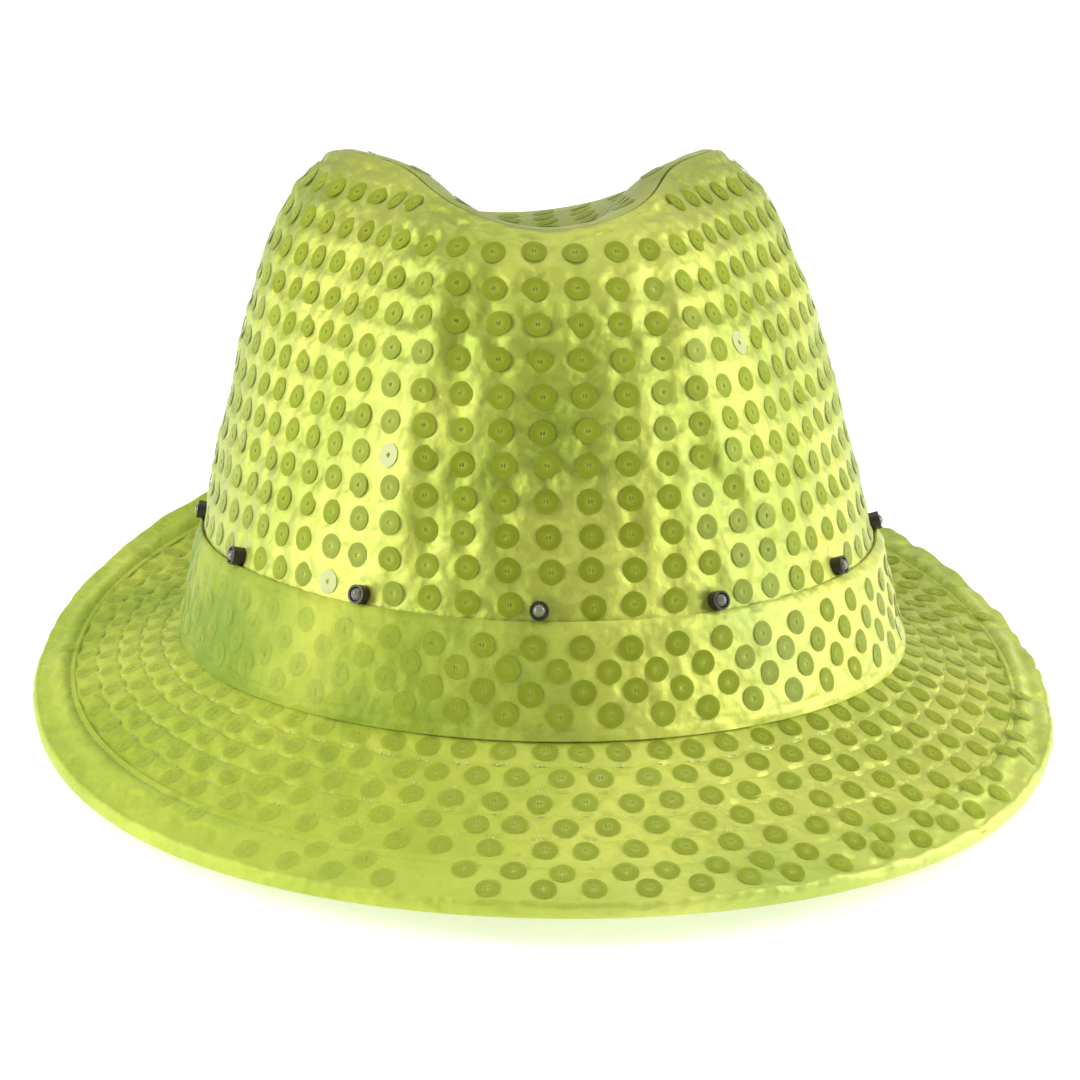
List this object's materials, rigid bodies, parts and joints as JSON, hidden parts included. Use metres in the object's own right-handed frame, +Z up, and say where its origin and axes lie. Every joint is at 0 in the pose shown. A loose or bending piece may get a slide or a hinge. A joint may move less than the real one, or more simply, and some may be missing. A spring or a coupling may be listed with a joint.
{
  "type": "light-up sequinned fedora hat",
  "caption": "Lime green sequinned fedora with pinched teardrop crown, bound brim, hat band edged with sleeved lights, lining, sweatband and a coin-cell pack with push switch.",
  "frame": {"origin": "bottom centre of the bounding box: on the table, under the middle of the brim", "axes": "+Z up, the front of the hat toward -Y, +X to the right as seen from the front; the hat lies on a table, tipped back so that the front half of the brim edge and the back of the underside touch it"},
  "size_m": [0.2436, 0.2913, 0.1322],
  "materials": {
    "sequin_fabric": "lime green satin sewn with clear-coated flat sequins",
    "binding_fabric": "bias strip of the same sequinned satin",
    "underside_fabric": "plain lime green satin with rows of stitching",
    "crown_buckram": "stiffened open-weave cotton",
    "brim_board": "stiff non-woven board",
    "lining_fabric": "off-white plain-weave polyester",
    "sweatband_fabric": "white ribbed ribbon",
    "led_clear": "clear epoxy",
    "led_sleeve": "black shrink tube",
    "wire_insulation": "black insulation, slightly glossy",
    "lead_metal": "tinned wire",
    "case_plastic": "fine moulded texture",
    "screw_steel": "zinc plated",
    "cell_steel": "bright stainless steel",
    "contact_metal": "nickel plated spring strip",
    "board_laminate": "green solder mask",
    "chip_resin": "black potting resin",
    "switch_body": "moulded plastic",
    "button_plastic": "red moulded plastic"
  },
  "bodies": {
    "hat": {"crown_tip": "sequin_fabric", "crown_side_panel": "sequin_fabric", "front_stiffener": "crown_buckram", "back_stiffener": "crown_buckram", "tip_stiffener": "crown_buckram", "lining_side": "lining_fabric", "lining_tip": "lining_fabric", "sweatband": "sweatband_fabric", "hat_band": "sequin_fabric", "brim_top": "sequin_fabric", "brim_stiffener": "brim_board", "brim_underside": "underside_fabric", "brim_binding": "binding_fabric", "led_lenses": "led_clear", "led_sleeves": "led_sleeve", "led_leads": "lead_metal", "led_wire_ring": "wire_insulation", "battery_lead": "wire_insulation", "battery_case": "case_plastic", "coin_cells": "cell_steel", "battery_contacts": "contact_metal", "flasher_board": "board_laminate", "chip_blob": "chip_resin", "push_switch": "switch_body"},
    "lid": {"battery_lid": "case_plastic", "lid_screw": "screw_steel"},
    "button": {"switch_button": "button_plastic"}
  },
  "joints": [
    {"name": "button_press", "type": "slide", "parent": "hat", "child": "button", "axis": [0.958, 0.1506, 0.2441], "range_m": [0, 0.0009], "stiffness_N_per_m": 600},
    {"name": "lid_lift", "type": "slide", "parent": "hat", "child": "lid", "axis": [-0.958, -0.1506, -0.2441], "range_m": [0, 0.018]}
  ]
}
